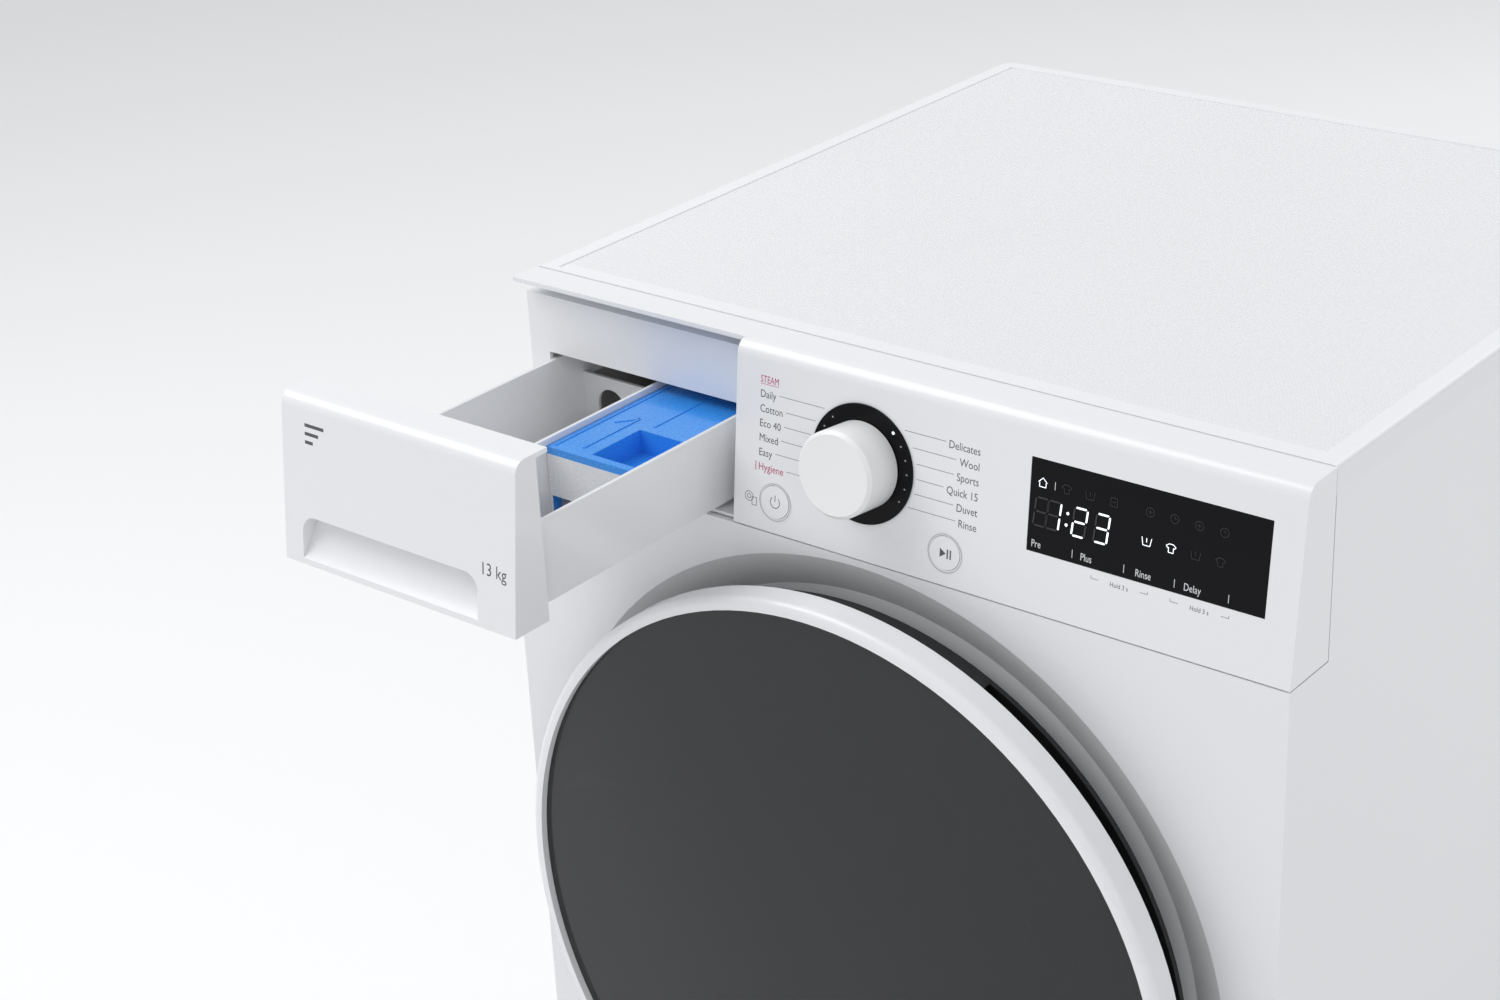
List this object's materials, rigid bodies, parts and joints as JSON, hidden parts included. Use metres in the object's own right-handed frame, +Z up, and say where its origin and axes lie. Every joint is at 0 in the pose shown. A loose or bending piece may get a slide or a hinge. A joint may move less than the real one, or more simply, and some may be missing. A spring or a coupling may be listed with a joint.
{
  "type": "front load washing machine",
  "caption": "Front load washing machine with a round glass door, a leaning control panel with dial and display, and a detergent drawer pulled out beside it.",
  "frame": {"origin": "on the floor, midway between the sides, and midway between the front of the pulled-out detergent drawer and the back of the rear cover", "axes": "+X to the right seen from the front, +Y from front to back, +Z up"},
  "size_m": [0.6, 0.8176, 0.85],
  "materials": {
    "white_plastic": "moulded, semi-gloss",
    "textured_white": "moulded, fine dotted texture",
    "white_steel": "powder coated",
    "zinc_steel": "zinc coated sheet",
    "stainless": "brushed stainless",
    "pin_steel": "polished steel",
    "knob_white": "satin moulded",
    "black_gloss": "polished black",
    "black_plastic": "fine grain",
    "grey_plastic": "moulded",
    "siphon_blue": "translucent moulded",
    "smoked_glass": "smoked, polished",
    "clear_glass": "clear, polished",
    "grey_rubber": "soft moulded",
    "black_rubber": "soft moulded",
    "tub_plastic": "glass filled moulding",
    "concrete": "cast concrete",
    "board_green": "circuit board",
    "iron_core": "laminated core with windings",
    "cast_aluminium": "die cast"
  },
  "bodies": {
    "cabinet": {"side_panel_left": "white_steel", "side_panel_right": "white_steel", "rear_frame": "zinc_steel", "back_cover": "zinc_steel", "base_tray": "grey_plastic", "front_panel": "white_steel", "top_cover": "textured_white", "top_rail": "zinc_steel", "control_panel": "white_plastic", "display_window": "black_gloss", "dial_ring": "black_gloss", "control_board": "board_green", "dispenser_housing": "tub_plastic", "hinge_bracket": "cast_aluminium", "hinge_pin": "pin_steel", "door_lock": "black_plastic", "door_gasket": "grey_rubber", "hanger_brackets": "zinc_steel", "suspension_springs": "pin_steel", "damper_cylinders": "black_plastic", "inlet_valve": "grey_plastic", "valve_hoses": "black_rubber", "fill_hose": "black_rubber", "drain_pump": "grey_plastic", "sump_hose": "black_rubber", "drain_hose": "grey_plastic", "transit_caps": "grey_plastic", "cord_gland": "black_plastic", "cover_screws": "pin_steel"},
    "drawer": {"drawer_front": "white_plastic", "detergent_tray": "white_plastic", "siphon_insert": "siphon_blue"},
    "knob": {"program_knob": "knob_white"},
    "power_key": {"power_button": "white_plastic"},
    "start_key": {"start_button": "white_plastic"},
    "door": {"door_ring": "white_plastic", "door_glass": "smoked_glass", "door_frame": "grey_plastic", "door_bowl": "clear_glass", "hinge_arm": "cast_aluminium"},
    "hook": {"door_hook": "pin_steel"},
    "tub": {"tub_front": "tub_plastic", "tub_rear": "tub_plastic", "heater": "stainless", "upper_counterweight": "concrete", "lower_counterweight": "concrete", "bearings_and_seal": "pin_steel", "motor_stator": "iron_core", "damper_rods": "pin_steel"},
    "drum": {"drum_shell": "stainless", "spider_and_shaft": "cast_aluminium", "drum_lifters": "grey_plastic", "motor_rotor": "iron_core"},
    "impeller": {"pump_impeller": "grey_plastic"},
    "filter": {"filter_cap": "grey_plastic"},
    "flap": {"filter_flap": "white_plastic"},
    "foot_fl": {"foot_front_left": "black_rubber"},
    "foot_fr": {"foot_front_right": "black_rubber"},
    "foot_rl": {"foot_rear_left": "black_rubber"},
    "foot_rr": {"foot_rear_right": "black_rubber"}
  },
  "joints": [
    {"name": "drawer_slide", "type": "slide", "parent": "cabinet", "child": "drawer", "axis": [0, -1, 0], "range_m": [-0.203, 0]},
    {"name": "door_hinge", "type": "hinge", "parent": "cabinet", "child": "door", "pos_m": [-0.24, -0.23617, 0.455], "axis": [0, 0, -1], "range_deg": [0, 130]},
    {"name": "hook_pivot", "type": "hinge", "parent": "door", "child": "hook", "pos_m": [0.212, -0.22817, 0.455], "axis": [0, 0, 1], "range_deg": [0, 8], "stiffness_Nm_per_rad": 0.2},
    {"name": "knob_turn", "type": "hinge", "parent": "cabinet", "child": "knob", "pos_m": [0, -0.19905, 0.791], "axis": [0, -0.9936, 0.1132], "continuous": true},
    {"name": "power_press", "type": "slide", "parent": "cabinet", "child": "power_key", "axis": [0, 0.9936, -0.1132], "range_m": [0, 0.0012], "stiffness_N_per_m": 600},
    {"name": "start_press", "type": "slide", "parent": "cabinet", "child": "start_key", "axis": [0, 0.9936, -0.1132], "range_m": [0, 0.0012], "stiffness_N_per_m": 600},
    {"name": "tub_bounce", "type": "slide", "parent": "cabinet", "child": "tub", "axis": [0, 0, 1], "range_m": [-0.008, 0.008], "stiffness_N_per_m": 14000, "springref_m": 0.04064, "deforming": ["door_gasket", "suspension_springs", "fill_hose", "sump_hose"]},
    {"name": "drum_spin", "type": "hinge", "parent": "tub", "child": "drum", "pos_m": [0, 0.09383, 0.455], "axis": [0, 1, 0], "continuous": true},
    {"name": "pump_spin", "type": "hinge", "parent": "cabinet", "child": "impeller", "pos_m": [0.205, -0.08617, 0.112], "axis": [0, 1, 0], "continuous": true},
    {"name": "filter_turn", "type": "hinge", "parent": "cabinet", "child": "filter", "pos_m": [0.205, -0.18417, 0.112], "axis": [0, -1, 0], "range_deg": [0, 180]},
    {"name": "flap_hinge", "type": "hinge", "parent": "cabinet", "child": "flap", "pos_m": [0.206, -0.20017, 0.066], "axis": [1, 0, 0], "range_deg": [0, 95]},
    {"name": "foot_turn_fl", "type": "hinge", "parent": "cabinet", "child": "foot_fl", "pos_m": [-0.25, -0.16117, 0.02], "axis": [0, 0, 1], "continuous": true},
    {"name": "foot_turn_fr", "type": "hinge", "parent": "cabinet", "child": "foot_fr", "pos_m": [0.25, -0.16117, 0.02], "axis": [0, 0, 1], "continuous": true},
    {"name": "foot_turn_rl", "type": "hinge", "parent": "cabinet", "child": "foot_rl", "pos_m": [-0.25, 0.34583, 0.02], "axis": [0, 0, 1], "continuous": true},
    {"name": "foot_turn_rr", "type": "hinge", "parent": "cabinet", "child": "foot_rr", "pos_m": [0.25, 0.34583, 0.02], "axis": [0, 0, 1], "continuous": true}
  ]
}
